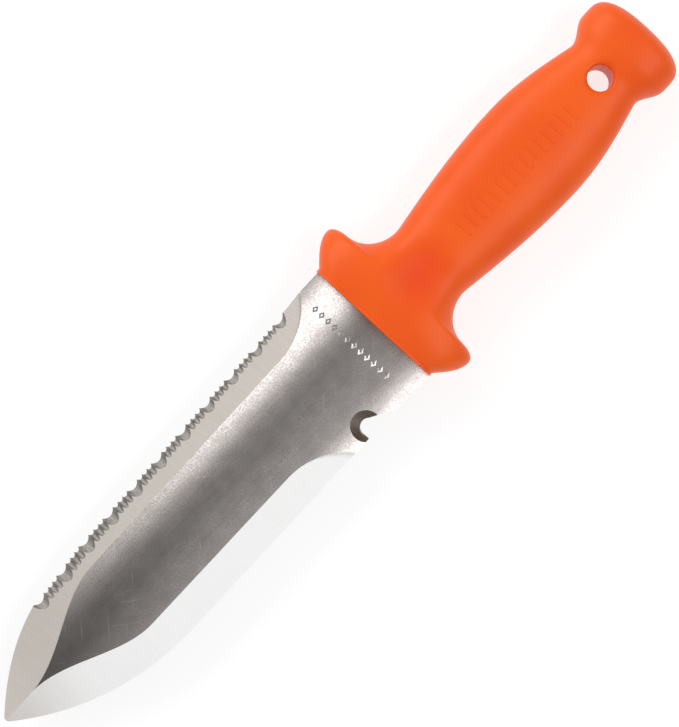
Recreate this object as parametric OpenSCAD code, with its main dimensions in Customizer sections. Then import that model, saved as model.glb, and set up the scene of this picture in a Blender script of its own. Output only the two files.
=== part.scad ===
// Soil knife: a pressed steel blade, hollow on one face, with its tang moulded into a plastic handle.
// It lies on its back with the hollow face up, the point at +X and the saw edge at -Y.
// The origin is on the surface below it, in the middle of its length and width.

/* [Blade] */
// Length of the blade, from the tip to the front of the handle
blade_len = 175; // [165:1:185]
// Width of the blade where its edges run straight
blade_w = 48.4; // [46:0.1:50]
// Thickness of the steel
steel_t = 2.5; // [2.2:0.1:3]
// Inside radius of the pressed trough
trough_r = 60; // [54:1:75]
// Length of the point, over which the edges curve in
point_len = 64; // [58:1:70]
// Radius at the very tip
tip_r = 1.6; // [1.2:0.1:2.2]

/* [Ground bevels] */
// Width of the trough between the two bevels, at the handle end
trough_w = 28; // [25:0.5:30]
// Distance from the tip to the sharp end of the trough
trough_start = 12.5; // [10:0.5:16]
// Distance from the tip to where the trough is as wide as it gets
trough_full = 55.5; // [50:0.5:60]
// Steel left at the edge of each bevel
edge_t = 0.3; // [0.25:0.05:0.5]
// Distance from the handle to where the bevel starts to run out, on the plain side
plain_runout = 55; // [50:1:60]
// Distance from the handle to where the bevel starts to run out, on the saw side
saw_runout = 29; // [27:1:33]
// Radius of the run-outs, left by the grinding wheel
wheel_r = 25; // [22:1:28]

/* [Saw edge] */
// Groups of teeth along the edge
saw_groups = 10; // [8:1:10]
// Length of one group of teeth
saw_pitch = 11.87; // [11.5:0.01:11.9]
// Distance from the handle to the last big gullet
saw_rear = 17.4; // [17:0.1:19]
// Length of a big gullet
big_gullet = 5.1; // [4.6:0.1:5.2]
// Length of a small gullet
small_gullet = 2.25; // [2:0.05:2.25]
// How far the tooth points stand in from the full width, at the handle end of the saw
inset_rear = 0.5; // [0.3:0.1:0.8]
// The same where the line of teeth bends towards the point
inset_bend = 3.1; // [2.8:0.1:3.3]
// The same at the front end of the saw
inset_front = 5.6; // [5.5:0.1:5.9]

/* [Twine notch] */
// Distance from the handle to the round end of the notch
notch_at = 25.2; // [24:0.1:27]
// Radius of the round end
notch_r = 2.9; // [2.7:0.1:3.1]
// Depth of the notch, from the plain edge
notch_depth = 5.4; // [5.2:0.1:6]
// Width of the sharpened land round it
notch_land = 2.6; // [2:0.1:2.8]

/* [Tang] */
// Length of the wide root of the tang, just inside the handle
seat_len = 8; // [6:0.5:9]
// Width of that root, between the blade's two shoulders
seat_w = 40; // [38:0.5:41]
// Length of the tang, from the front of the handle
tang_len = 98; // [90:1:99]
// Width of the tang
tang_w = 19; // [17:0.5:20]
// Diameter of the holes that lock the plastic to the tang
lock_d = 7; // [5:0.5:8]

/* [Handle] */
// Length of the handle
handle_len = 130; // [129:0.5:134]
// Width across the guard's horns
guard_w = 62.6; // [60:0.2:66]
// Width of the neck behind the guard
neck_w = 29.2; // [28:0.2:31]
// Width of the grip where it swells most
grip_w = 38.4; // [36:0.2:40]
// Width of the waist at the hang hole
waist_w = 27.6; // [26:0.2:30]
// Width of the butt
butt_w = 35.8; // [33:0.2:38]
// Thickness of the guard
guard_t = 26; // [24:0.5:28]
// Thickness of the neck
neck_t = 22; // [20:0.5:23]
// Thickness of the grip where it swells most
grip_t = 25; // [24:0.5:27]
// Thickness of the waist at the hang hole
waist_t = 20; // [19:0.5:22]
// Thickness of the butt
butt_t = 25; // [24:0.5:27]
// Diameter of the hang hole
hole_d = 8.5; // [7:0.1:9]

/* [Hidden] */
steel_color = "silver";
plastic_color = "orangered";

// From the front of the handle to the middle of the whole length
origin_shift = (handle_len - blade_len) / 2;

// Heights above the surface: the handle's middle, and the bottom of the trough's inner face
handle_z = guard_t / 2;
trough_z = handle_z - 0.5;

// Places along the handle, as distances behind its front
collar_len = 1;
horn_at = 12;
horn_back = 15;
neck_at = 27.5;
grip_at = 76;
hole_at = 107;
waist_at = 109.5;
butt_at = 119;
butt_round_at = 122;

// Shape of the handle's sections: squarer at the front, where they cover the blade's corners
collar_wall = 0.35;
collar_t = 21;
horn_drop = 5.4;
front_power = 4;
section_power = 2.5;
butt_power = 2.6;
ring_points = 40;

// Places of the holes in the tang, as distances behind the handle's front
lock_places = [22, 50, 78];

// Grinding angle of the gullets, above the flat of the blade, and how deep they dip at the edge
grind_angle = 19;
big_dip = 1.4;
small_dip = 1;
small_count = 3;
saw_ramp = 9;

// Where the line of teeth bends, and where the edge ahead of it meets the plain outline
saw_bend = 117;
saw_nose = 163;

// Length of the notch's mouth behind its round end, and how far its land stands to the front
notch_mouth = 10.3;
land_shift = 0.5;

// The point's outline: each edge bends in on one radius and ends on the tip's small round
half_w = blade_w / 2;
point_r = (point_len * point_len + half_w * half_w) / (2 * half_w);
tip_reach = sqrt(pow(point_r - tip_r, 2) - pow(point_r - half_w, 2));
point_start = blade_len - tip_r - tip_reach;
tip_join = point_start + point_r * tip_reach / (point_r - tip_r);
apex_x = point_start + point_len;
shell_r = trough_r + steel_t;
trough_end = blade_len - trough_start;
saw_front = saw_rear + saw_groups * saw_pitch + big_gullet;

// Steps and clearances of the cutting shapes
station = 2.5;
nose_steps = 8;
past = 3;
above = 20;

// Half the width of the blade at x ahead of the handle
function edge_y(x) = x < point_start ? half_w
    : half_w - point_r + sqrt(max(0, point_r * point_r - pow(x - point_start, 2)));
// Heights of the trough's inner and outer faces at y from the middle
function inner_z(y) = trough_r - sqrt(trough_r * trough_r - y * y);
function outer_z(y) = trough_r - sqrt(shell_r * shell_r - y * y);
function between(t) = min(1, max(0, t));
function ease(t) = let (c = between(t)) c * c * (3 - 2 * c);
// Half the width of the hollow between the bevels, before they run out
function hollow_y(x) = trough_w / 2 * (1 - 0.05 * x / blade_len)
    * ease((trough_end - x) / (trough_full - trough_start));
// Height of the ridge where the bevels meet, ahead of the hollow
function ridge_z(x) = -(steel_t - edge_t) * between((x - trough_end) / (apex_x - trough_end));
// Height of a bevel on the straight line from the hollow's rim to the edge
function bevel_z(x, y) = let (
        rim = hollow_y(x),
        rim_z = inner_z(rim) + ridge_z(x),
        lip_z = outer_z(edge_y(x)) + edge_t)
    rim_z + (lip_z - rim_z) * (y - rim) / (edge_y(x) - rim);
// Inner limit of a bevel, with the round run-out that the wheel's rim leaves
function limit_y(x, runout) = hollow_y(x) + wheel_r
    - sqrt(max(0, wheel_r * wheel_r - pow(max(0, runout - x), 2)));
// Line of the tooth points: straight, with one bend, and its angle
bend_y = half_w - inset_bend;
function tooth_y(x) = x < saw_bend
    ? bend_y + (inset_bend - inset_rear) * (saw_bend - x) / (saw_bend - saw_rear)
    : bend_y - (inset_front - inset_bend) * (x - saw_bend) / (saw_front - saw_bend);
function tooth_angle(x) = atan(tooth_y(x) - tooth_y(x + 1));
// The saw side's smooth edge ahead of the teeth, which eases back to the plain side's outline
function nose_y(x) = edge_y(x) - (edge_y(saw_front) - tooth_y(saw_front))
    * pow((saw_nose - x) / (saw_nose - saw_front), 2);
// Radius of a round groove of this width where it is this deep
function groove_r(width, depth) = (width * width / 4 + depth * depth) / (2 * depth);

// A closed skin over rings of points that run along +X, each turning from +Y to +Z
module skin(rings) {
    n = len(rings[0]);
    last = (len(rings) - 1) * n;
    sides = [for (j = [0 : n : last - 1]) for (i = [0 : n - 1])
        let (a = j + i, b = j + (i + 1) % n)
        for (f = [[a, a + n, b + n], [a, b + n, b]]) f];
    start_cap = [for (i = [0 : n - 1]) i];
    end_cap = [for (i = [n - 1 : -1 : 0]) last + i];
    polyhedron([for (r = rings) for (p = r) p], concat([start_cap], sides, [end_cap]));
}

// The pressed trough, before its outline is cut
module trough_shell() {
    translate([-tang_len - 1, 0, trough_r])
        rotate([0, 90, 0])
            difference() {
                cylinder(h = blade_len + tang_len + 2, r = shell_r, $fn = 180);
                translate([0, 0, -1])
                    cylinder(h = blade_len + tang_len + 4, r = trough_r, $fn = 180);
            }
}

// Flat outline of the blade ahead of the handle, seen from above
module blade_outline() {
    translate([0, -half_w])
        square([point_start, blade_w]);
    intersection() {
        translate([point_start, half_w - point_r])
            circle(point_r, $fn = 360);
        translate([point_start, point_r - half_w])
            circle(point_r, $fn = 360);
        translate([point_start, -half_w])
            square([tip_join - point_start, blade_w]);
    }
    translate([blade_len - tip_r, 0])
        circle(tip_r, $fn = 48);
}

// Flat outline of the steel inside the handle
module tang_outline() {
    difference() {
        union() {
            translate([-seat_len, -seat_w / 2])
                square([seat_len, seat_w]);
            translate([-tang_len + tang_w / 2, -tang_w / 2])
                square([tang_len - tang_w / 2, tang_w]);
            translate([-tang_len + tang_w / 2, 0])
                circle(d = tang_w, $fn = 72);
        }
        for (x = lock_places)
            translate([-x, 0])
                circle(d = lock_d, $fn = 48);
    }
}

// Everything above one bevel, which the grinding wheel takes away
module bevel_cut(runout) {
    reach = half_w + 2 - trough_w / 2;
    first = runout - sqrt(wheel_r * wheel_r - pow(wheel_r - reach, 2));
    last = blade_len + (apex_x - blade_len) / 2;
    count = ceil((last - first) / station);
    skin([for (i = [0 : count])
        let (
            x = first + (last - first) * i / count,
            near = max(-0.01, limit_y(x, runout) - 0.01),
            far = edge_y(x) + past)
        [
            [x, near, bevel_z(x, near)],
            [x, far, bevel_z(x, far)],
            [x, far, above],
            [x, near, above]
        ]]);
}

// Steel beyond the line of the tooth points, with a ramp behind it and the eased edge ahead
module tooth_trim() {
    linear_extrude(height = 2 * above, center = true)
        polygon(concat(
            [[saw_nose, half_w + past], [saw_rear - saw_ramp, half_w + past],
                [saw_rear - saw_ramp, half_w], [saw_rear, tooth_y(saw_rear)],
                [saw_bend, bend_y]],
            [for (i = [0 : nose_steps])
                let (x = saw_front + (saw_nose - saw_front) * i / nose_steps)
                [x, nose_y(x)]]));
}

// One round groove ground through the edge at x, rising into the bevel: it is this wide at the
// tooth points, and on the blade's outer face it reaches in by its dip
module gullet(x, width, dip) {
    floor_z = outer_z(tooth_y(x) - dip);
    rise = outer_z(tooth_y(x)) - floor_z;
    r = groove_r(width, rise * cos(grind_angle) + dip * sin(grind_angle));
    translate([x, tooth_y(x), floor_z])
        rotate([0, 0, -tooth_angle(x)])
            translate([0, r * sin(grind_angle) - dip, r * cos(grind_angle)])
                rotate([90 - grind_angle, 0, 0])
                    cylinder(h = above, r = r, center = true, $fn = 48);
}

module saw_gullets() {
    for (k = [0 : saw_groups])
        gullet(saw_rear + k * saw_pitch + big_gullet / 2, big_gullet, big_dip);
    for (k = [0 : saw_groups - 1])
        for (i = [0 : small_count - 1])
            gullet(saw_rear + k * saw_pitch + big_gullet + (i + 0.5) * small_gullet,
                small_gullet, small_dip);
}

// The hook-shaped notch and the land sharpened round its end
module twine_notch() {
    centre_y = half_w - notch_depth + notch_r;
    inner_r = 0.96 * notch_r;
    mouth = [-notch_mouth, half_w - centre_y];
    slope = asin(inner_r / norm(mouth)) + atan2(mouth.y, -mouth.x);
    out = [cos(slope), -sin(slope)];
    touch = [-inner_r * sin(slope), -inner_r * cos(slope)];
    translate([notch_at, centre_y, 0]) {
        linear_extrude(height = 2 * above, center = true) {
            circle(notch_r, $fn = 48);
            polygon([[0, 0], [inner_r, 0], [inner_r, notch_depth + past],
                mouth - past * out, touch]);
        }
        translate([0, 0, outer_z(centre_y)])
            rotate([asin(centre_y / shell_r), 0, 0])
                translate([land_shift, 0, edge_t])
                    cylinder(h = steel_t, r1 = notch_r, r2 = notch_r + notch_land, $fn = 64);
    }
}

module blade_blank() {
    intersection() {
        trough_shell();
        translate([0, 0, -above])
            linear_extrude(height = 2 * above) {
                blade_outline();
                tang_outline();
            }
    }
}

module blade() {
    color(steel_color)
        translate([origin_shift, 0, trough_z])
            difference() {
                blade_blank();
                bevel_cut(plain_runout);
                mirror([0, 1, 0])
                    bevel_cut(saw_runout);
                mirror([0, 1, 0])
                    tooth_trim();
                mirror([0, 1, 0])
                    saw_gullets();
                twine_notch();
            }
}

// Stations of the handle's skin: distance behind its front, half width and half thickness
function wave(a, b, t) = a + (b - a) * sin(90 * t);
function swell(a, b, t) = a + (b - a) * (1 - cos(180 * t)) / 2;
collar_w = blade_w / 2 + collar_wall;
collar_part = [[0, collar_w, collar_t / 2], [collar_len, collar_w, collar_t / 2]];
guard_part = [for (i = [1 : 6]) let (t = i / 6)
    [collar_len + (horn_at - collar_len) * t,
        wave(collar_w, guard_w / 2, t), wave(collar_t / 2, guard_t / 2, t)]];
horn_part = [for (a = [18 : 18 : 90])
    [horn_at + (horn_back - horn_at) * sin(a),
        guard_w / 2 - horn_drop * (1 - cos(a)),
        swell(guard_t, neck_t, (horn_back - horn_at) * sin(a) / (neck_at - horn_at)) / 2]];
fillet_part = [for (a = [12 : 13 : 90])
    let (d = neck_at - (neck_at - horn_back) * cos(a))
    [d, neck_w / 2 + (guard_w / 2 - horn_drop - neck_w / 2) * (1 - sin(a)),
        swell(guard_t, neck_t, (d - horn_at) / (neck_at - horn_at)) / 2]];
grip_part = [for (i = [0.5 : 7.5]) let (t = i / 7.5)
    [neck_at + (grip_at - neck_at) * t, wave(neck_w, grip_w, t) / 2,
        swell(neck_t, grip_t, t) / 2]];
taper_part = [for (i = [1 : 7]) let (t = i / 7)
    [grip_at + (waist_at - grip_at) * t, wave(waist_w, grip_w, 1 - t) / 2,
        swell(grip_t, waist_t, t) / 2]];
flare_part = [for (i = [1 : 6]) let (t = i / 6)
    [waist_at + (butt_at - waist_at) * t, swell(waist_w, butt_w, t) / 2,
        swell(waist_t, butt_t, t) / 2]];
butt_part = [for (a = [0 : 12 : 84])
    let (size = pow(cos(a), 2 / butt_power))
    [butt_round_at + (handle_len - butt_round_at) * pow(sin(a), 2 / butt_power),
        butt_w / 2 * size, butt_t / 2 * size]];
end_part = [[handle_len, butt_w / 30, butt_t / 30]];
handle_stations = concat(collar_part, guard_part, horn_part, fillet_part, grip_part,
    taper_part, flare_part, butt_part, end_part);

function bulge(c, power) = sign(c) * pow(abs(c), 2 / power);
function handle_ring(s) =
    let (power = section_power + (front_power - section_power) * ease(1 - s[0] / horn_at))
    [for (i = [0 : ring_points - 1])
        let (a = 360 * i / ring_points)
        [-s[0], s[1] * bulge(cos(a), power), s[2] * bulge(sin(a), power)]];

module handle() {
    color(plastic_color)
        difference() {
            translate([origin_shift, 0, handle_z])
                skin([for (i = [len(handle_stations) - 1 : -1 : 0])
                    handle_ring(handle_stations[i])]);
            translate([origin_shift, 0, trough_z])
                intersection() {
                    trough_shell();
                    translate([0, 0, -above])
                        linear_extrude(height = 2 * above)
                            tang_outline();
                }
            translate([origin_shift - hole_at, 0, 0])
                cylinder(h = 2 * guard_t, r = hole_d / 2, center = true, $fn = 72);
        }
}

blade();
handle();
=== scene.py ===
import math

import bpy
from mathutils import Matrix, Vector


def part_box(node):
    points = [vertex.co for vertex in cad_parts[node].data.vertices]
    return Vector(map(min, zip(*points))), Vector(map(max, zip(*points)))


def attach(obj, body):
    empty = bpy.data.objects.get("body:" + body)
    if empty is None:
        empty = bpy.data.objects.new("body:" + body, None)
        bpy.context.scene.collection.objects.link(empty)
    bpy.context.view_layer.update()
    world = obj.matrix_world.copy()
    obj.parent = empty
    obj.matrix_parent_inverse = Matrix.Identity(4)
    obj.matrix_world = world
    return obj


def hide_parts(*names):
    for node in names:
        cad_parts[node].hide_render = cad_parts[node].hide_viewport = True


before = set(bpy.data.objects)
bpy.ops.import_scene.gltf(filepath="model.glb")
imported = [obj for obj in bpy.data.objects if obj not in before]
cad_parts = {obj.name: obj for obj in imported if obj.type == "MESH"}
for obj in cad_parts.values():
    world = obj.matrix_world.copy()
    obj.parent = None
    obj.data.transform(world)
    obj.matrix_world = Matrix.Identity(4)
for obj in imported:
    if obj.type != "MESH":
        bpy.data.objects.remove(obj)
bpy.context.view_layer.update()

# Everything is in metres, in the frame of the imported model: the point is at +X, the hollow
# face is up, the saw edge is at -Y and the plain edge, with the twine notch, at +Y.
MM = 0.001
blade_low, blade_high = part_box("blade")
handle_low, handle_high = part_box("handle")

# Places and sizes that the frame gives
FRONT = handle_high.x                                # front of the handle
TIP = blade_high.x - FRONT                           # length of the blade ahead of it
HALF_W = blade_high.y                                # half the blade's full width
GUARD_HALF = handle_high.y
HANDLE_LEN = handle_high.x - handle_low.x
HANDLE_Z = (handle_low.z + handle_high.z) / 2
GUARD_THICK = handle_high.z - handle_low.z

# The pressed steel
STEEL = 2.5 * MM
TROUGH_R = 60 * MM
TROUGH_Z = blade_low.z + STEEL                       # bottom of the trough's inner face
EDGE = 0.3 * MM
POINT_LEN = 64 * MM
TIP_R = 1.6 * MM
HOLLOW = 14 * MM                                     # half the hollow's width at the handle
HOLLOW_START = TIP - 12.5 * MM
HOLLOW_RUN = 43 * MM
PLAIN_RUNOUT = 55 * MM
SAW_RUNOUT = 29 * MM
WHEEL_R = 25 * MM
SEAT = 8 * MM                                        # wide root of the tang, in the handle
SEAT_HALF = 20 * MM
TANG_LEN = 98 * MM
TANG_HALF = 9.5 * MM
LOCK_R = 3.5 * MM
LOCK_PLACES = (22 * MM, 50 * MM, 78 * MM)            # holes that lock the plastic to the tang
STEP = 0.001 * MM                                    # width given to a square shoulder

# The saw edge
SAW_GROUPS = 10
SAW_PITCH = 11.87 * MM
SAW_REAR = 17.4 * MM
SAW_RAMP = 9 * MM
SAW_BEND = 117 * MM
SAW_NOSE = 163 * MM
BIG_GULLET = 5.1 * MM
SMALL_GULLET = 2.25 * MM
SMALL_COUNT = 3
BIG_DIP = 1.4 * MM
SMALL_DIP = 1.0 * MM
GRIND_ANGLE = math.radians(19)
INSET_REAR = 0.5 * MM
INSET_BEND = 3.1 * MM
INSET_FRONT = 5.6 * MM
SAW_FRONT = SAW_REAR + SAW_GROUPS * SAW_PITCH + BIG_GULLET

# The twine notch
NOTCH_AT = 25.2 * MM
NOTCH_R = 2.9 * MM
NOTCH_DEPTH = 5.4 * MM
NOTCH_LAND = 2.6 * MM
NOTCH_MOUTH = 10.3 * MM
LAND_SHIFT = 0.5 * MM

# The thumb's dip in the guard: its place behind the handle's front, half sizes and depth
DIP_AT = 21.5 * MM
DIP_LONG = 15 * MM
DIP_WIDE = 12 * MM
DIP_DEEP = 1.7 * MM

# ---------------------------------------------------------------- shapes in plan and section

POINT_R = (POINT_LEN ** 2 + HALF_W ** 2) / (2 * HALF_W)
TIP_REACH = math.sqrt((POINT_R - TIP_R) ** 2 - (POINT_R - HALF_W) ** 2)
POINT_START = TIP - TIP_R - TIP_REACH
TIP_JOIN = POINT_START + POINT_R * TIP_REACH / (POINT_R - TIP_R)
APEX = POINT_START + POINT_LEN


def between(t):
    return min(1.0, max(0.0, t))


def ease(t):
    t = between(t)
    return t * t * (3 - 2 * t)


def arc_y(x):
    """Half width of the point's two arcs, which meet ahead of the rounded tip."""
    if x < POINT_START:
        return HALF_W
    return HALF_W - POINT_R + math.sqrt(max(0.0, POINT_R ** 2 - (x - POINT_START) ** 2))


def outline_y(x):
    """Half width of the steel: the round-ended tang, its wide root, the blade and its tip."""
    if x < TANG_HALF - TANG_LEN:
        return math.sqrt(max(0.0, TANG_HALF ** 2 - (x + TANG_LEN - TANG_HALF) ** 2))
    if x < -SEAT:
        return TANG_HALF
    if x < 0:
        return SEAT_HALF
    if x < TIP_JOIN:
        return arc_y(x)
    return math.sqrt(max(0.0, TIP_R ** 2 - (x - TIP + TIP_R) ** 2))


def inner_z(y):
    return TROUGH_R - math.sqrt(TROUGH_R ** 2 - y * y)


def outer_z(y):
    return TROUGH_R - math.sqrt((TROUGH_R + STEEL) ** 2 - y * y)


def hollow_y(x):
    """Half width of the hollow between the two bevels."""
    return HOLLOW * (1 - 0.05 * x / TIP) * ease((HOLLOW_START - x) / HOLLOW_RUN)


def bevel_z(x, y):
    """Height of a ground bevel, on a straight line from the hollow's rim to the edge."""
    rim = hollow_y(x)
    ridge = -(STEEL - EDGE) * between((x - HOLLOW_START) / (APEX - HOLLOW_START)) ** 1.5
    rim_z = inner_z(rim) + ridge
    lip_z = outer_z(arc_y(x)) + EDGE
    return rim_z + (lip_z - rim_z) * (y - rim) / (arc_y(x) - rim)


def limit_y(x, runout):
    """Inner limit of a bevel, with the round run-out that the wheel's rim leaves."""
    back = max(0.0, runout - x)
    return hollow_y(x) + WHEEL_R - math.sqrt(max(0.0, WHEEL_R ** 2 - back * back))


def tooth_y(x):
    """Line of the tooth points, straight with one bend."""
    bend_y = HALF_W - INSET_BEND
    if x < SAW_BEND:
        return bend_y + (INSET_BEND - INSET_REAR) * (SAW_BEND - x) / (SAW_BEND - SAW_REAR)
    return bend_y - (INSET_FRONT - INSET_BEND) * (x - SAW_BEND) / (SAW_FRONT - SAW_BEND)


def saw_edge_y(x):
    """The saw side's edge before its gullets are cut."""
    if x < SAW_REAR:
        return HALF_W - INSET_REAR * ease((x - SAW_REAR + SAW_RAMP) / SAW_RAMP)
    if x < SAW_FRONT:
        return tooth_y(x)
    step = arc_y(SAW_FRONT) - tooth_y(SAW_FRONT)
    return arc_y(x) - step * ((SAW_NOSE - x) / (SAW_NOSE - SAW_FRONT)) ** 2


# ---------------------------------------------------------------- the ways of working

def only(obj):
    """Deselects everything and makes obj the one selected, active object."""
    if bpy.context.object and bpy.context.object.mode != "OBJECT":
        bpy.ops.object.mode_set(mode="OBJECT")
    bpy.ops.object.select_all(action="DESELECT")
    obj.select_set(True)
    bpy.context.view_layer.objects.active = obj


def added(name):
    """Names the new primitive and moves its place and turn into its mesh."""
    obj = bpy.context.object
    obj.name = name
    obj.data.name = name
    only(obj)
    bpy.ops.object.transform_apply(location=True, rotation=True, scale=True)
    return obj


def edit_all(obj, mode="VERT"):
    """Opens obj in edit mode with everything selected."""
    only(obj)
    bpy.ops.object.mode_set(mode="EDIT")
    bpy.ops.mesh.select_mode(type=mode)
    bpy.ops.mesh.select_all(action="SELECT")


def leave_edit():
    bpy.ops.object.mode_set(mode="OBJECT")


def apply_modifier(obj, kind, **settings):
    only(obj)
    modifier = obj.modifiers.new(kind.lower(), kind)
    for key, value in settings.items():
        setattr(modifier, key, value)
    bpy.ops.object.modifier_apply(modifier=modifier.name)


def cut(piece, tool, operation="DIFFERENCE"):
    """Cuts piece with a closed tool, whose material goes onto the new faces."""
    apply_modifier(piece, "BOOLEAN", object=tool, operation=operation,
                   solver="EXACT", material_mode="TRANSFER")
    mesh = tool.data
    bpy.data.objects.remove(tool)
    bpy.data.meshes.remove(mesh)


def stations(first, last, count):
    return [first + (last - first) * i / count for i in range(count + 1)]


def slab(name, xs, low_y, high_y, face_z, flat_z, lean=0.0, across=1):
    """A closed solid over the stations xs, between two edges in plan.

    Its shaped face is at face_z(x, y) and its flat one at flat_z, which lean moves sideways.
    """
    bpy.ops.mesh.primitive_grid_add(x_subdivisions=len(xs) - 1, y_subdivisions=across, size=2)
    obj = added(name)
    for vertex in obj.data.vertices:
        x = xs[round((vertex.co.x + 1) / 2 * (len(xs) - 1))]
        y = low_y(x) + (high_y(x) - low_y(x)) * (vertex.co.y + 1) / 2
        vertex.co = (x, y, face_z(x, y))
    edit_all(obj, "FACE")
    bpy.ops.mesh.extrude_region_move(TRANSFORM_OT_translate={"value": (0, -lean, 1)})
    bpy.ops.transform.resize(value=(1, 1, 0), center_override=(0, 0, flat_z))
    bpy.ops.mesh.select_all(action="SELECT")
    bpy.ops.mesh.normals_make_consistent(inside=False)
    leave_edit()
    return obj


def turned(name, place, rings, sides=96):
    """A round solid about Z at place, drawn up through rings of (height, radius)."""
    first_z, first_r = rings[0]
    bpy.ops.mesh.primitive_circle_add(vertices=sides, radius=first_r, fill_type="NGON",
                                      location=(place[0], place[1], place[2] + first_z))
    obj = added(name)
    edit_all(obj, "FACE")
    for (z0, r0), (z1, r1) in zip(rings, rings[1:]):
        bpy.ops.mesh.extrude_region_move(TRANSFORM_OT_translate={"value": (0, 0, z1 - z0)})
        bpy.ops.transform.resize(value=(r1 / r0, r1 / r0, 1), center_override=place)
    bpy.ops.mesh.select_all(action="SELECT")
    bpy.ops.mesh.normals_make_consistent(inside=False)
    leave_edit()
    return obj


def rod(name, radius, length, place, tilt=(0, 0, 0), sides=128, end_radius=None):
    """A round bar or cone, centred on place, along Z before it is tilted."""
    bpy.ops.mesh.primitive_cone_add(
        vertices=sides, radius1=radius, radius2=radius if end_radius is None else end_radius,
        depth=length, location=place, rotation=tilt)
    return added(name)


def move_mesh(obj, offset=(0, 0, 0), mirror_y=False):
    edit_all(obj)
    if mirror_y:
        bpy.ops.transform.resize(value=(1, -1, 1), center_override=(0, 0, 0))
        bpy.ops.mesh.normals_make_consistent(inside=False)
    bpy.ops.transform.translate(value=offset)
    leave_edit()


def joined(name, parts):
    bpy.ops.object.select_all(action="DESELECT")
    for part in parts:
        part.select_set(True)
    bpy.context.view_layer.objects.active = parts[0]
    if len(parts) > 1:
        bpy.ops.object.join()
    parts[0].name = name
    return parts[0]


def finish_piece(piece, node):
    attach(piece, "root")
    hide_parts(node)


def give(obj, material):
    obj.data.materials.clear()
    obj.data.materials.append(material)


# ---------------------------------------------------------------- shared finishes

def new_group(name, inputs):
    """A node group with the named inputs and one output, Mask, which runs from 0 to 1."""
    tree = bpy.data.node_groups.new(name, "ShaderNodeTree")
    for label, kind, value in inputs:
        socket = tree.interface.new_socket(label, in_out="INPUT", socket_type=kind)
        if value is not None:
            socket.default_value = value
    tree.interface.new_socket("Mask", in_out="OUTPUT", socket_type="NodeSocketFloat")
    return tree, tree.nodes.new("NodeGroupInput"), tree.nodes.new("NodeGroupOutput")


def step_between(tree, source, low, high):
    """A soft step of source between the sockets low and high."""
    step = tree.nodes.new("ShaderNodeMapRange")
    step.interpolation_type = "SMOOTHSTEP"
    tree.links.new(source, step.inputs["Value"])
    tree.links.new(low, step.inputs["From Min"])
    tree.links.new(high, step.inputs["From Max"])
    return step.outputs["Result"]


def grain_group():
    """Even mottling: noise of a given scale, cut between Low and High."""
    tree, start, end = new_group("grain", (
        ("Vector", "NodeSocketVector", None), ("Scale", "NodeSocketFloat", 500.0),
        ("Detail", "NodeSocketFloat", 2.0), ("Low", "NodeSocketFloat", 0.3),
        ("High", "NodeSocketFloat", 0.7)))
    noise = tree.nodes.new("ShaderNodeTexNoise")
    for label in ("Vector", "Scale", "Detail"):
        tree.links.new(start.outputs[label], noise.inputs[label])
    mask = step_between(tree, noise.outputs["Fac"], start.outputs["Low"], start.outputs["High"])
    tree.links.new(mask, end.inputs["Mask"])
    return tree


def streaks_group():
    """Lines left by a wheel, a press or a knock: noise drawn out one way and turned."""
    tree, start, end = new_group("streaks", (
        ("Vector", "NodeSocketVector", None), ("Across", "NodeSocketFloat", 2000.0),
        ("Along", "NodeSocketFloat", 80.0), ("Turn", "NodeSocketFloat", 0.0),
        ("Low", "NodeSocketFloat", 0.3), ("High", "NodeSocketFloat", 0.7)))
    turn = tree.nodes.new("ShaderNodeVectorRotate")
    turn.rotation_type = "Z_AXIS"
    pull = tree.nodes.new("ShaderNodeCombineXYZ")
    pulled = tree.nodes.new("ShaderNodeVectorMath")
    pulled.operation = "MULTIPLY"
    noise = tree.nodes.new("ShaderNodeTexNoise")
    noise.inputs["Scale"].default_value = 1
    noise.inputs["Detail"].default_value = 3
    tree.links.new(start.outputs["Vector"], turn.inputs["Vector"])
    tree.links.new(start.outputs["Turn"], turn.inputs["Angle"])
    tree.links.new(start.outputs["Across"], pull.inputs["X"])
    tree.links.new(start.outputs["Along"], pull.inputs["Y"])
    tree.links.new(start.outputs["Along"], pull.inputs["Z"])
    tree.links.new(turn.outputs["Vector"], pulled.inputs[0])
    tree.links.new(pull.outputs["Vector"], pulled.inputs[1])
    tree.links.new(pulled.outputs["Vector"], noise.inputs["Vector"])
    mask = step_between(tree, noise.outputs["Fac"], start.outputs["Low"], start.outputs["High"])
    tree.links.new(mask, end.inputs["Mask"])
    return tree


def spot_group():
    """A soft oval spot about Centre, 1 in its middle and 0 at its Size."""
    tree, start, end = new_group("spot", (
        ("Vector", "NodeSocketVector", None), ("Centre", "NodeSocketVector", None),
        ("Size", "NodeSocketVector", (1, 1, 1))))
    offset = tree.nodes.new("ShaderNodeVectorMath")
    offset.operation = "SUBTRACT"
    scaled = tree.nodes.new("ShaderNodeVectorMath")
    scaled.operation = "DIVIDE"
    reach = tree.nodes.new("ShaderNodeVectorMath")
    reach.operation = "LENGTH"
    fade = tree.nodes.new("ShaderNodeMapRange")
    fade.interpolation_type = "SMOOTHSTEP"
    fade.inputs["From Min"].default_value = 1
    fade.inputs["From Max"].default_value = 0
    tree.links.new(start.outputs["Vector"], offset.inputs[0])
    tree.links.new(start.outputs["Centre"], offset.inputs[1])
    tree.links.new(offset.outputs["Vector"], scaled.inputs[0])
    tree.links.new(start.outputs["Size"], scaled.inputs[1])
    tree.links.new(scaled.outputs["Vector"], reach.inputs[0])
    tree.links.new(reach.outputs["Value"], fade.inputs["Value"])
    tree.links.new(fade.outputs["Result"], end.inputs["Mask"])
    return tree


GRAIN = grain_group()
STREAKS = streaks_group()
SPOT = spot_group()


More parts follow.
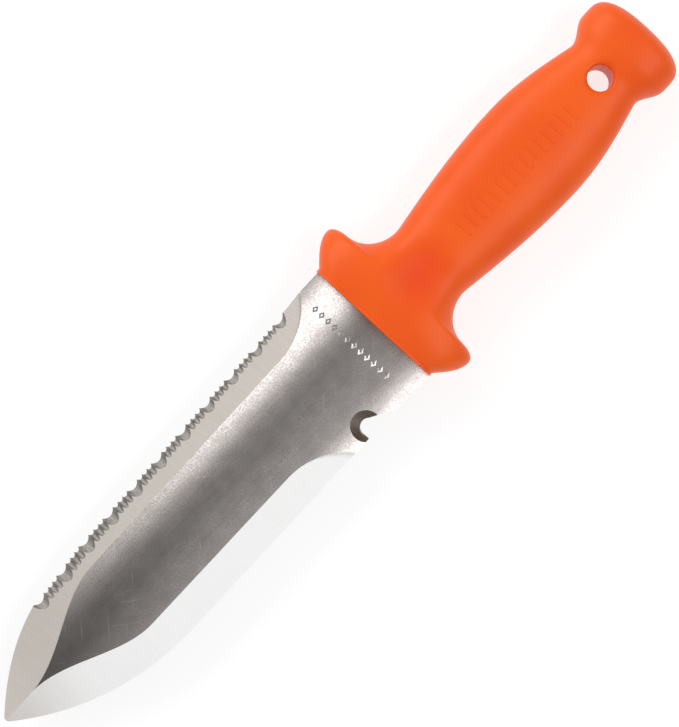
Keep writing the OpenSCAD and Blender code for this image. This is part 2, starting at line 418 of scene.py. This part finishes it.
class Finish:
    """One material under construction: its shader, object coordinates and mixing helpers."""

    def __init__(self, name, metallic, roughness):
        self.material = bpy.data.materials.new(name)
        self.material.use_nodes = True
        self.tree = self.material.node_tree
        self.shader = self.tree.nodes["Principled BSDF"]
        self.shader.inputs["Metallic"].default_value = metallic
        self.shader.inputs["Roughness"].default_value = roughness
        self.place = self.tree.nodes.new("ShaderNodeTexCoord").outputs["Object"]

    def mask(self, group, **values):
        """Places a shared group on the object's own coordinates and returns its mask."""
        node = self.tree.nodes.new("ShaderNodeGroup")
        node.node_tree = group
        self.tree.links.new(self.place, node.inputs["Vector"])
        for label, value in values.items():
            node.inputs[label].default_value = value
        return node.outputs["Mask"]

    def mix(self, mask, first, second, share=1.0):
        """Mixes two colours, each a socket or a plain value, by share of a mask."""
        node = self.tree.nodes.new("ShaderNodeMix")
        node.data_type = "RGBA"
        if share < 1:
            mask = self.scaled(mask, share)
        self.tree.links.new(mask, node.inputs[0])
        for socket, value in ((node.inputs[6], first), (node.inputs[7], second)):
            if isinstance(value, tuple):
                socket.default_value = (*value, 1)
            else:
                self.tree.links.new(value, socket)
        return node.outputs[2]

    def scaled(self, mask, high, low=0.0):
        """A mask brought from 0..1 to low..high."""
        node = self.tree.nodes.new("ShaderNodeMapRange")
        node.inputs["To Min"].default_value = low
        node.inputs["To Max"].default_value = high
        self.tree.links.new(mask, node.inputs["Value"])
        return node.outputs["Result"]

    def sum(self, first, second):
        """Adds two masks."""
        node = self.tree.nodes.new("ShaderNodeMath")
        node.operation = "ADD"
        self.tree.links.new(first, node.inputs[0])
        self.tree.links.new(second, node.inputs[1])
        return node.outputs["Value"]

    def feed(self, label, source):
        """Joins a mask or colour to one of the shader's inputs."""
        self.tree.links.new(source, self.shader.inputs[label])

    def bump(self, height, depth):
        """Relief of the given depth in metres."""
        node = self.tree.nodes.new("ShaderNodeBump")
        node.inputs["Strength"].default_value = 1
        node.inputs["Distance"].default_value = depth
        self.tree.links.new(height, node.inputs["Height"])
        self.feed("Normal", node.outputs["Normal"])


def pressed_steel():
    """The trough: grey, mottled by the press, with fine scratches both ways and a dark point."""
    finish = Finish("pressed_steel", 1.0, 0.28)
    speckle = finish.mask(GRAIN, Scale=1700.0, Detail=3.0, Low=0.3, High=0.7)
    blotch = finish.mask(GRAIN, Scale=160.0, Detail=4.0, Low=0.3, High=0.7)
    draw = finish.mask(STREAKS, Across=60.0, Along=900.0, Low=0.3, High=0.72)
    knocks = finish.mask(STREAKS, Across=2600.0, Along=70.0, Turn=0.75, Low=0.66, High=0.74)
    scuffs = finish.mask(STREAKS, Across=2400.0, Along=60.0, Turn=-0.9, Low=0.67, High=0.75)
    point = finish.mask(SPOT, Centre=(FRONT + TIP, 0, TROUGH_Z), Size=(0.11, 0.05, 0.05))
    colour = finish.mix(speckle, (0.37, 0.335, 0.32), (0.53, 0.49, 0.475))
    colour = finish.mix(blotch, colour, (0.33, 0.295, 0.285), share=0.6)
    colour = finish.mix(draw, colour, (0.50, 0.48, 0.47), share=0.3)
    colour = finish.mix(point, colour, (0.15, 0.135, 0.125), share=0.75)
    colour = finish.mix(knocks, colour, (0.75, 0.73, 0.71), share=0.55)
    colour = finish.mix(scuffs, colour, (0.72, 0.70, 0.68), share=0.5)
    finish.feed("Base Color", colour)
    finish.feed("Roughness", finish.scaled(speckle, 0.25, 0.31))
    finish.bump(finish.sum(finish.scaled(speckle, 0.5), finish.scaled(draw, 0.5)), 0.0015 * MM)
    return finish.material


def ground_steel(name, dark, light, metallic, roughness, turn):
    """A bevel off the wheel: steel with fine lines across it, in a tone that is painted light:
    near-white for the lit plain bevel and warm grey for the shaded saw bevel.
    """
    finish = Finish(name, metallic, roughness)
    lines = finish.mask(STREAKS, Across=2400.0, Along=110.0, Turn=turn, Low=0.3, High=0.7)
    bands = finish.mask(STREAKS, Across=420.0, Along=50.0, Turn=turn, Low=0.35, High=0.7)
    cloud = finish.mask(GRAIN, Scale=90.0, Detail=2.0, Low=0.3, High=0.7)
    # Painted shade: both bevels are darkened to beige towards the tip, where they slope more
    # steeply.
    point = finish.mask(SPOT, Centre=(FRONT + TIP, 0, TROUGH_Z), Size=(0.035, 0.05, 0.05))
    colour = finish.mix(lines, dark, light)
    colour = finish.mix(bands, colour, dark, share=0.4)
    colour = finish.mix(cloud, colour, light, share=0.35)
    colour = finish.mix(point, colour, (0.60, 0.55, 0.51), share=0.6)
    finish.feed("Base Color", colour)
    finish.feed("Roughness", finish.scaled(lines, roughness - 0.06, roughness + 0.04))
    finish.bump(lines, 0.006 * MM)
    return finish.material


def shaded_cut_steel(name, metallic, dark, light):
    """Small surfaces cut after the rest, dull, with a dark base that is painted shade for the shadow
    in the gullets and the notch.
    """
    finish = Finish(name, metallic, 0.4)
    lines = finish.mask(STREAKS, Across=5000.0, Along=500.0, Low=0.3, High=0.7)
    colour = finish.mix(lines, dark, light)
    finish.feed("Base Color", colour)
    finish.feed("Roughness", finish.scaled(lines, 0.46, 0.34))
    finish.bump(lines, 0.004 * MM)
    return finish.material


def moulded_plastic():
    """Satin orange with a fine moulded grain, and painted shade in the thumb's dip."""
    finish = Finish("orange_plastic", 0.0, 0.42)
    finish.shader.inputs["Specular IOR Level"].default_value = 0.3
    grain = finish.mask(GRAIN, Scale=2600.0, Detail=2.0, Low=0.3, High=0.7)
    flow = finish.mask(GRAIN, Scale=45.0, Detail=2.0, Low=0.3, High=0.7)
    # Painted shade: the thumb's dip is painted a deeper, redder orange, standing in for light
    # bounced within the recess.
    dip = finish.mask(SPOT, Centre=(FRONT - DIP_AT, 0, HANDLE_Z + 11 * MM),
                      Size=(18 * MM, 14 * MM, 14 * MM))
    colour = finish.mix(flow, (0.86, 0.094, 0.003), (0.90, 0.112, 0.004))
    colour = finish.mix(dip, colour, (0.84, 0.062, 0.006), share=0.9)
    finish.feed("Base Color", colour)
    finish.feed("Roughness", finish.scaled(grain, 0.46, 0.38))
    finish.bump(grain, 0.010 * MM)
    return finish.material


def floor_finish():
    """A lit white table, so that shadows stay faint."""
    finish = Finish("pale_floor", 0.0, 0.8)
    finish.shader.inputs["Base Color"].default_value = (0.25, 0.25, 0.25, 1)
    finish.shader.inputs["Emission Color"].default_value = (1, 1, 1, 1)
    finish.shader.inputs["Emission Strength"].default_value = 0.78
    return finish.material


pressed = pressed_steel()
# Both bevels are one ground steel: the plain bevel's near-white base is painted light and the saw
# bevel's warm grey base is painted shade.
ground = ground_steel("ground_bevel_painted_light", (0.93, 0.93, 0.925), (0.99, 0.99, 0.99), 0.25, 0.40, 0.12)
saw_ground_painted_shade = ground_steel("ground_saw_side_painted_shade", (0.60, 0.55, 0.505), (0.67, 0.615, 0.57),
                          0.35, 0.42, -0.1)
# Painted shade: the gullets and the notch are the same steel, darkened to stand in for the shadow in
# them.
gullet_painted_shade = shaded_cut_steel("ground_gullet_painted_shade", 0.6, (0.17, 0.155, 0.14), (0.33, 0.305, 0.28))
notch_painted_shade = shaded_cut_steel("notch_land", 0.6, (0.11, 0.088, 0.07), (0.17, 0.14, 0.115))
plastic = moulded_plastic()

# ---------------------------------------------------------------- the blade


def steel_trough():
    """The pressed strip: a tube's wall cut to the blade's outline."""
    length = TIP + TANG_LEN + 4 * MM
    place = ((TIP - TANG_LEN) / 2, 0, TROUGH_R)
    turn = (0, math.radians(90), 0)
    wall = rod("blade", TROUGH_R + STEEL, length, place, turn, sides=900)
    give(wall, pressed)
    core = rod("core", TROUGH_R, length + 2 * MM, place, turn, sides=900)
    give(core, pressed)
    cut(wall, core)
    tang_end = [-TANG_LEN + TANG_HALF * (1 - math.cos(math.radians(a))) for a in range(0, 90, 6)]
    tip_end = [TIP - TIP_R + TIP_R * math.sin(math.radians(a)) for a in range(30, 91, 6)]
    xs = [*tang_end, TANG_HALF - TANG_LEN, -SEAT - STEP, -SEAT, -STEP,
          *stations(0, POINT_START, 20), *stations(POINT_START, TIP_JOIN, 64)[1:],
          *[x for x in tip_end if x > TIP_JOIN]]
    outline = slab("outline", xs, lambda x: -max(outline_y(x), 0.01 * MM),
                   lambda x: max(outline_y(x), 0.01 * MM),
                   lambda x, y: -20 * MM, 20 * MM)
    give(outline, pressed)
    cut(wall, outline, "INTERSECT")
    for back in LOCK_PLACES:
        lock = rod("lock", LOCK_R, 20 * MM, (-back, 0, 0), sides=48)
        give(lock, pressed)
        cut(wall, lock)
    return wall


def bevel_tool(runout):
    """All that the wheel takes off above one bevel, on the plain side."""
    reach = HALF_W + 2 * MM - HOLLOW
    first = runout - math.sqrt(WHEEL_R ** 2 - (WHEEL_R - reach) ** 2)
    last = TIP + (APEX - TIP) / 2
    return slab("bevel_tool", stations(first, last, 160),
                lambda x: limit_y(x, runout) - 0.005 * MM, lambda x: arc_y(x) + 3 * MM,
                bevel_z, 20 * MM, lean=6 * MM)


def saw_trim():
    xs = [SAW_REAR - SAW_RAMP + SAW_RAMP * i / 8 for i in range(8)]
    xs += stations(SAW_REAR, SAW_FRONT, 24) + stations(SAW_FRONT, SAW_NOSE, 16)[1:]
    return slab("saw_trim", xs, lambda x: saw_edge_y(x) - 0.001 * MM,
                lambda x: HALF_W + 3 * MM, lambda x, y: -20 * MM, 20 * MM)


def gullets():
    """Centre, width at the tooth points and dip of every gullet, from the rear on."""
    places = []
    for k in range(SAW_GROUPS + 1):
        rear = SAW_REAR + k * SAW_PITCH
        places.append((rear + BIG_GULLET / 2, BIG_GULLET, BIG_DIP))
        if k < SAW_GROUPS:
            places += [(rear + BIG_GULLET + (i + 0.5) * SMALL_GULLET, SMALL_GULLET, SMALL_DIP)
                       for i in range(SMALL_COUNT)]
    return places


COMB_TURN = math.radians(3.6)                        # longest step round a gullet's arc
COMB_SPARE = 3                                       # steps past the first and last tooth points
COMB_IN = 8 * MM                                     # reach of the comb each side of the points
COMB_OUT = 3 * MM


def gullet_comb():
    """One tool with a round rib for each gullet, rising into the steel at the grinding angle.

    On the outer face a rib reaches its dip inside the line of the tooth points.
    """
    heights = {}
    places = gullets()
    for at, width, dip in places:
        y = tooth_y(at)
        floor_z = outer_z(y - dip)
        deep = (outer_z(y) - floor_z) * math.cos(GRIND_ANGLE) + dip * math.sin(GRIND_ANGLE)
        radius = (width ** 2 / 4 + deep ** 2) / (2 * deep)
        reach = math.asin(width / 2 / radius)
        steps = math.ceil(2 * reach / COMB_TURN)
        first = -COMB_SPARE if at == places[0][0] else 0
        last = steps + COMB_SPARE if at == places[-1][0] else steps - 1
        for i in range(first, last + 1):
            turn = reach * (2 * i / steps - 1)
            lift = radius * (1 - math.cos(turn)) - dip * math.sin(GRIND_ANGLE)
            heights[at + radius * math.sin(turn)] = floor_z + lift / math.cos(GRIND_ANGLE)
    return slab("gullets", sorted(heights),
                lambda x: tooth_y(x) - COMB_IN, lambda x: tooth_y(x) + COMB_OUT,
                lambda x, y: heights[x] - (y - tooth_y(x)) * math.tan(GRIND_ANGLE), 20 * MM)


def notch_tools():
    """The round hook, the mouth that opens it towards the handle, and the sloping land."""
    centre_y = HALF_W - NOTCH_DEPTH + NOTCH_R
    hook = rod("hook", NOTCH_R, 40 * MM, (NOTCH_AT, centre_y, 0), sides=160)
    inner = 0.96 * NOTCH_R
    mouth = Vector((-NOTCH_MOUTH, NOTCH_DEPTH - NOTCH_R))
    slope = math.asin(inner / mouth.length) + math.atan2(mouth.y, -mouth.x)
    touch = Vector((-inner * math.sin(slope), -inner * math.cos(slope)))
    far = HALF_W + 3 * MM
    back_x = NOTCH_AT + mouth.x - (far - HALF_W) / math.tan(slope)

    def low(x):
        if x >= NOTCH_AT:
            return centre_y
        corner = NOTCH_AT + touch.x
        if x >= corner:
            return centre_y + touch.y * (NOTCH_AT - x) / -touch.x
        return centre_y + touch.y + (corner - x) * math.tan(slope)

    mouth_cut = slab("mouth", [back_x, NOTCH_AT + touch.x, NOTCH_AT, NOTCH_AT + inner],
                     low, lambda x: far, lambda x, y: -20 * MM, 20 * MM)
    land = rod("land", NOTCH_R, STEEL, (LAND_SHIFT, 0, EDGE + STEEL / 2),
               sides=160, end_radius=NOTCH_R + NOTCH_LAND)
    edit_all(land)
    bpy.ops.transform.rotate(value=-math.asin(centre_y / (TROUGH_R + STEEL)), orient_axis="X",
                             center_override=(0, 0, 0))
    bpy.ops.transform.translate(value=(NOTCH_AT, centre_y, outer_z(centre_y)))
    leave_edit()
    return hook, mouth_cut, land


STAMP_AT = 9.2 * MM                                  # row of stamped marks across the blade
STAMP_R = 1.0 * MM
STAMP_STRETCH = 1.4                                  # a mark's length over its width
STAMP_DEEP = 0.18 * MM
STAMP_FIRST = -16.8 * MM
STAMP_PITCH = 2.85 * MM
STAMP_COUNT = 12


def stamped_lozenges():
    """Tools for a row of plain four-sided marks, each square to the trough where it stands."""
    marks = []
    for i in range(STAMP_COUNT):
        y = STAMP_FIRST + i * STAMP_PITCH
        lean = math.asin(y / TROUGH_R)
        mark = rod("stamp", 0.4 * STAMP_R, 1.5 * STAMP_DEEP, (STAMP_AT, 0, -STAMP_DEEP / 4),
                   sides=4, end_radius=1.3 * STAMP_R)
        edit_all(mark)
        bpy.ops.transform.resize(value=(STAMP_STRETCH, 1, 1), center_override=(STAMP_AT, 0, 0))
        bpy.ops.transform.translate(value=(0, 0, -TROUGH_R))
        bpy.ops.transform.rotate(value=-lean, orient_axis="X", center_override=(0, 0, 0))
        bpy.ops.transform.translate(value=(0, 0, TROUGH_R))
        leave_edit()
        marks.append(mark)
    return joined("stamps", marks)


def blade():
    """The trough, ground on both sides, toothed on one and notched on the other."""
    piece = steel_trough()
    for runout, side, finish in ((PLAIN_RUNOUT, 1, ground), (SAW_RUNOUT, -1, saw_ground_painted_shade)):
        tool = bevel_tool(runout)
        if side < 0:
            move_mesh(tool, mirror_y=True)
        give(tool, finish)
        cut(piece, tool)
    trim = saw_trim()
    move_mesh(trim, mirror_y=True)
    give(trim, saw_ground_painted_shade)
    cut(piece, trim)
    comb = gullet_comb()
    move_mesh(comb, mirror_y=True)
    give(comb, gullet_painted_shade)
    cut(piece, comb)
    for tool in notch_tools():
        give(tool, notch_painted_shade)
        cut(piece, tool)
    marks = stamped_lozenges()
    give(marks, pressed)
    cut(piece, marks)
    move_mesh(piece, (FRONT, 0, TROUGH_Z))
    only(piece)
    bpy.ops.object.shade_smooth_by_angle(angle=math.radians(4))
    apply_modifier(piece, "WEIGHTED_NORMAL", keep_sharp=True)
    finish_piece(piece, "blade")


# ---------------------------------------------------------------- the handle

COLLAR = 1 * MM                                      # lip round the front face
COLLAR_HALF = HALF_W + 0.35 * MM
COLLAR_THICK = 10.5 * MM
HORN_AT = 12 * MM
HORN_BACK = 15 * MM
HORN_DROP = 5.4 * MM
NECK_AT = 27.5 * MM
GRIP_AT = 76 * MM
WAIST_AT = 109.5 * MM
BUTT_AT = 119 * MM
BUTT_ROUND = 122 * MM
HOLE_AT = 107 * MM
HOLE_R = 4.25 * MM
HOLE_RIM = 1.5 * MM                                  # round on the hang hole's two rims
NECK = (14.6 * MM, 11 * MM)                          # half width and half thickness
GRIP = (19.2 * MM, 12.5 * MM)
WAIST = (13.8 * MM, 10 * MM)
BUTT = (17.9 * MM, 12.5 * MM)
SECTION = 2.5                                        # power of the sections' rounded shape
FRONT_SECTION = 4.0
BUTT_POWER = 2.6
SPARE = 2 * MM                                       # length trimmed off the front at the end
VOXEL = 0.45 * MM
SMOOTH_ALL = 3                                       # passes over the whole handle
SMOOTH_SOFT = 14                                     # further passes behind the collar


def wave(a, b, t):
    return a + (b - a) * math.sin(math.pi / 2 * t)


def swell(a, b, t):
    return a + (b - a) * (1 - math.cos(math.pi * t)) / 2


def guard_thick(back):
    return swell(GUARD_THICK / 2, NECK[1], (back - HORN_AT) / (NECK_AT - HORN_AT))


def handle_stations():
    """Distance behind the front, half width and half thickness, from front to butt."""
    thick = GUARD_THICK / 2
    rows = [(-SPARE, COLLAR_HALF, COLLAR_THICK), (COLLAR, COLLAR_HALF, COLLAR_THICK)]
    for i in range(1, 13):
        t = i / 12
        rows.append((COLLAR + (HORN_AT - COLLAR) * t, wave(COLLAR_HALF, GUARD_HALF, t),
                     wave(COLLAR_THICK, thick, t)))
    for a in range(10, 91, 10):
        back = HORN_AT + (HORN_BACK - HORN_AT) * math.sin(math.radians(a))
        rows.append((back, GUARD_HALF - HORN_DROP * (1 - math.cos(math.radians(a))),
                     guard_thick(back)))
    for a in range(6, 91, 6):
        back = NECK_AT - (NECK_AT - HORN_BACK) * math.cos(math.radians(a))
        shoulder = GUARD_HALF - HORN_DROP - NECK[0]
        rows.append((back, NECK[0] + shoulder * (1 - math.sin(math.radians(a))),
                     guard_thick(back)))
    for i in range(1, 25):
        t = i / 24
        rows.append((NECK_AT + (GRIP_AT - NECK_AT) * t, wave(NECK[0], GRIP[0], t),
                     swell(NECK[1], GRIP[1], t)))
    for i in range(1, 21):
        t = i / 20
        rows.append((GRIP_AT + (WAIST_AT - GRIP_AT) * t, wave(WAIST[0], GRIP[0], 1 - t),
                     swell(GRIP[1], WAIST[1], t)))
    for i in range(1, 13):
        t = i / 12
        rows.append((WAIST_AT + (BUTT_AT - WAIST_AT) * t, swell(WAIST[0], BUTT[0], t),
                     swell(WAIST[1], BUTT[1], t)))
    for a in range(0, 88, 4):
        size = math.cos(math.radians(a)) ** (2 / BUTT_POWER)
        back = BUTT_ROUND + (HANDLE_LEN - BUTT_ROUND) * math.sin(math.radians(a)) ** (2 / BUTT_POWER)
        rows.append((back, BUTT[0] * size, BUTT[1] * size))
    rows.append((HANDLE_LEN, BUTT[0] / 30, BUTT[1] / 30))
    return rows


def bulge(c, power):
    return math.copysign(abs(c) ** (2 / power), c)


def thumb_dip(back, y):
    """Depth of the thumb's dip in the top of the guard."""
    off = ((back - DIP_AT) / DIP_LONG) ** 2 + (y / DIP_WIDE) ** 2
    return DIP_DEEP * max(0.0, 1 - off) ** 2


def section_solid(name, rows, shape, sides=96):
    """A solid drawn back along the handle through rows of sections.

    Each row starts with its distance behind the front, and shape(row, angle) gives a point.
    """
    bpy.ops.mesh.primitive_circle_add(vertices=sides, radius=1, fill_type="NGON",
                                      rotation=(0, math.radians(90), 0))
    solid = added(name)
    edit_all(solid, "FACE")
    for before, row in zip(rows, rows[1:]):
        bpy.ops.mesh.extrude_region_move(
            TRANSFORM_OT_translate={"value": (before[0] - row[0], 0, 0)})
    leave_edit()
    for vertex in solid.data.vertices:
        row = min(rows, key=lambda row: abs(row[0] - rows[0][0] + vertex.co.x))
        vertex.co = shape(row, math.atan2(vertex.co.z, vertex.co.y))
    edit_all(solid)
    bpy.ops.mesh.normals_make_consistent(inside=False)
    leave_edit()
    return solid


def section_point(row, angle):
    """A point of the handle's section, squarer towards the front and dipped for the thumb."""
    back, wide, thick = row
    power = SECTION + (FRONT_SECTION - SECTION) * ease(1 - back / HORN_AT)
    y = wide * bulge(math.cos(angle), power)
    z = thick * bulge(math.sin(angle), power)
    return (-back, y, z - thumb_dip(back, y) if z > 0 else z)


LIP_PROUD = 0.3 * MM
LIP_ROUND = 0.25 * MM                                # round on the lip's two outer edges


def collar_lip():
    """The thin round-edged lip that stands proud at the collar's front."""
    rows = [(0, COLLAR_HALF - LIP_ROUND, COLLAR_THICK - LIP_ROUND)]
    for a in range(0, 91, 30):
        out = LIP_PROUD - LIP_ROUND * (1 - math.sin(math.radians(a)))
        rows.append((LIP_ROUND * (1 - math.cos(math.radians(a))) + 0.01 * MM,
                     COLLAR_HALF + out, COLLAR_THICK + out))
    for a in range(0, 91, 30):
        out = LIP_PROUD - LIP_ROUND * (1 - math.cos(math.radians(a)))
        rows.append((COLLAR - LIP_ROUND * (1 - math.sin(math.radians(a))),
                     COLLAR_HALF + out, COLLAR_THICK + out))
    rows.append((COLLAR + 0.01 * MM, COLLAR_HALF - LIP_ROUND, COLLAR_THICK - LIP_ROUND))
    return section_solid("lip", rows, section_point)


def hang_hole():
    """A straight bore whose two rims are rounded over."""
    rim = [(WAIST[1] - HOLE_RIM * (1 - math.sin(math.radians(a))),
            HOLE_R + HOLE_RIM * (1 - math.cos(math.radians(a)))) for a in range(0, 91, 15)]
    upper = [*rim, (WAIST[1] + 6 * MM, HOLE_R + HOLE_RIM)]
    lower = [(-z, r) for z, r in reversed(upper)]
    return turned("hang_hole", (-HOLE_AT, 0, 0), lower + upper)


def grip_top(back, y):
    """Height of the grip's crowned top above the handle's middle."""
    if back < GRIP_AT:
        t = (back - NECK_AT) / (GRIP_AT - NECK_AT)
        wide, thick = wave(NECK[0], GRIP[0], t), swell(NECK[1], GRIP[1], t)
    else:
        t = (back - GRIP_AT) / (WAIST_AT - GRIP_AT)
        wide, thick = wave(WAIST[0], GRIP[0], 1 - t), swell(GRIP[1], WAIST[1], t)
    return thick * (1 - abs(y / wide) ** SECTION) ** (1 / SECTION)


RIB_HIGH = 0.22 * MM
RIB_WIDE = 1.0 * MM
RIB_PITCH = 3.6 * MM
RIB_FIRST = 42 * MM
RIB_COUNT = 15
RIB_LOW_Y = -3.0 * MM
RIB_HIGH_Y = 3.4 * MM


def grip_ribs():
    """A row of short raised ribs along the middle of the grip."""
    ribs = []
    for i in range(RIB_COUNT):
        back = RIB_FIRST + i * RIB_PITCH
        rib = slab("rib", stations(-back - RIB_WIDE / 2, -back + RIB_WIDE / 2, 2),
                   lambda x: RIB_LOW_Y, lambda x: RIB_HIGH_Y,
                   lambda x, y: grip_top(-x, y) + RIB_HIGH, GRIP[1] - 2 * MM, across=8)
        apply_modifier(rib, "BEVEL", width=0.12 * MM, segments=2, limit_method="ANGLE")
        ribs.append(rib)
    return joined("ribs", ribs)


def handle():
    """The moulding, smoothed all over and then again behind the collar."""
    piece = section_solid("handle", handle_stations(), section_point)
    cut(piece, hang_hole())
    apply_modifier(piece, "REMESH", mode="VOXEL", voxel_size=VOXEL, adaptivity=0)
    soft = piece.vertex_groups.new(name="soft")
    soft.add([v.index for v in piece.data.vertices if v.co.x < -COLLAR - MM], 1, "REPLACE")
    apply_modifier(piece, "SMOOTH", factor=0.5, iterations=SMOOTH_ALL)
    apply_modifier(piece, "SMOOTH", factor=0.5, iterations=SMOOTH_SOFT, vertex_group="soft")
    edit_all(piece)
    bpy.ops.mesh.bisect(plane_co=(0, 0, 0), plane_no=(1, 0, 0), use_fill=True, clear_outer=True)
    leave_edit()
    only(piece)
    bpy.ops.object.shade_smooth_by_angle(angle=math.radians(40))
    cut(piece, grip_ribs(), "UNION")
    cut(piece, collar_lip(), "UNION")
    give(piece, plastic)
    move_mesh(piece, (FRONT, 0, HANDLE_Z))
    finish_piece(piece, "handle")


# ---------------------------------------------------------------- floor, light and camera

def stage():
    """The floor that the knife lies on."""
    bpy.ops.mesh.primitive_plane_add(size=8)
    floor = added("floor")
    give(floor, floor_finish())


SKY_BRIGHT = 0.52
SKY_DIM = 0.2
DIM_TOWARD = (0.12, 0.09, 1)                         # middle of the dim patch, from the knife
DIM_INNER = math.radians(5)
DIM_OUTER = math.radians(17)


def studio_sky():
    """Even white light, with the dim patch overhead where the camera and its stand are."""
    world = bpy.data.worlds.new("studio")
    bpy.context.scene.world = world
    world.use_nodes = True
    nodes, links = world.node_tree.nodes, world.node_tree.links
    place = nodes.new("ShaderNodeTexCoord")
    toward = nodes.new("ShaderNodeVectorMath")
    toward.operation = "DOT_PRODUCT"
    toward.inputs[1].default_value = Vector(DIM_TOWARD).normalized()
    patch = nodes.new("ShaderNodeMapRange")
    patch.interpolation_type = "SMOOTHERSTEP"
    patch.inputs["From Min"].default_value = math.cos(DIM_OUTER)
    patch.inputs["From Max"].default_value = math.cos(DIM_INNER)
    patch.inputs["To Min"].default_value = SKY_BRIGHT
    patch.inputs["To Max"].default_value = SKY_DIM
    nodes["Background"].inputs["Color"].default_value = (1, 1, 1, 1)
    links.new(place.outputs["Generated"], toward.inputs[0])
    links.new(toward.outputs["Value"], patch.inputs["Value"])
    links.new(patch.outputs["Result"], nodes["Background"].inputs["Strength"])


def soft_light(name, place, aim, size, power):
    """A rectangular area light at place, turned to face aim."""
    data = bpy.data.lights.new(name, "AREA")
    data.shape = "RECTANGLE"
    data.size, data.size_y = size
    data.energy = power
    light = bpy.data.objects.new(name, data)
    bpy.context.scene.collection.objects.link(light)
    light.location = place
    light.rotation_euler = (Vector(aim) - Vector(place)).to_track_quat("-Z", "Y").to_euler()


CAMERA_UP = 0.9                                      # height above the handle's middle
CAMERA_AT = (-5.8 * MM, 0.8 * MM)
CAMERA_TURN = math.radians(132.8)
FRAME_HEIGHT = 234.9 * MM                            # longer side of the view at that height
SENSOR = 36                                          # in millimetres, as Blender counts it


def camera():
    """Looks straight down, with the knife slanting up to the right."""
    data = bpy.data.cameras.new("camera")
    data.sensor_width = SENSOR
    data.lens = SENSOR * CAMERA_UP / FRAME_HEIGHT
    view = bpy.data.objects.new("camera", data)
    bpy.context.scene.collection.objects.link(view)
    view.location = (*CAMERA_AT, HANDLE_Z + CAMERA_UP)
    view.rotation_euler = (0, 0, CAMERA_TURN)
    bpy.context.scene.camera = view


bpy.context.scene.view_settings.view_transform = "Standard"
camera()
stage()
studio_sky()
soft_light("strip", (-0.42, 0.62, 1.14), (-0.42, 0, 0), (1.15, 0.48), 5.6)
soft_light("side", (0, -1.0, 0.8), (0, 0, 0), (1.6, 0.6), 9)
blade()
handle()
